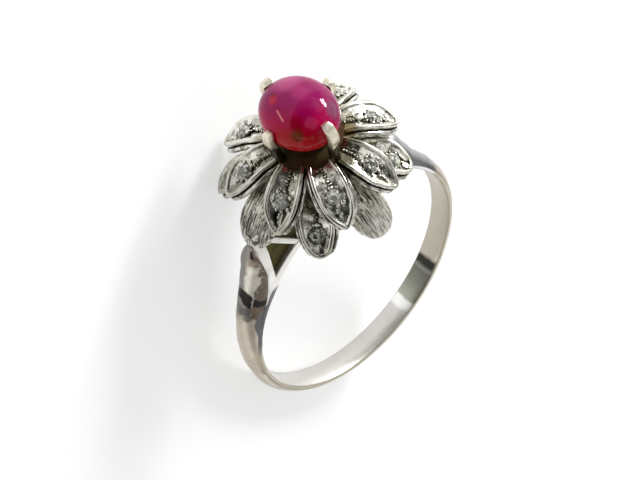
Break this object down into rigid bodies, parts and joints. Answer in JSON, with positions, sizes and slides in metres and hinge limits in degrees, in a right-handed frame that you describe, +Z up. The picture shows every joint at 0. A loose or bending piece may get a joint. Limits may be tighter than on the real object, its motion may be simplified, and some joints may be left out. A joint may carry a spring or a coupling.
{
  "type": "ruby and diamond ring",
  "caption": "Finger ring with a flower head: an oval ruby cabochon in claws above tiers of curved petals, most of them set with a small round diamond.",
  "frame": {"origin": "centre of the finger hole, at the middle of the band's width", "axes": "+Z up from the surface on which the ring lies on its side, -Y from the hole towards the flower head, +X to the left when looking from the hole to the head; the ring rests on a satin leaf's tip, the tip of the stone-set leaf beside it and the edge of the band, so the finger's axis leans 12 degrees from +Z towards +Y and 14 degrees towards +X"},
  "size_m": [0.0181, 0.0284, 0.012],
  "materials": {
    "white_gold": "worn polished white gold with dark tarnish in its hollows",
    "ruby": "polished translucent magenta red cabochon",
    "diamond": "polished clear facets"
  },
  "bodies": {
    "root": {"ring_body": "white_gold", "ruby": "ruby", "diamond_1": "diamond", "diamond_2": "diamond", "diamond_3": "diamond", "diamond_4": "diamond", "diamond_5": "diamond", "diamond_6": "diamond", "diamond_7": "diamond", "diamond_8": "diamond", "diamond_9": "diamond", "diamond_10": "diamond", "diamond_11": "diamond", "diamond_12": "diamond"}
  },
  "joints": []
}
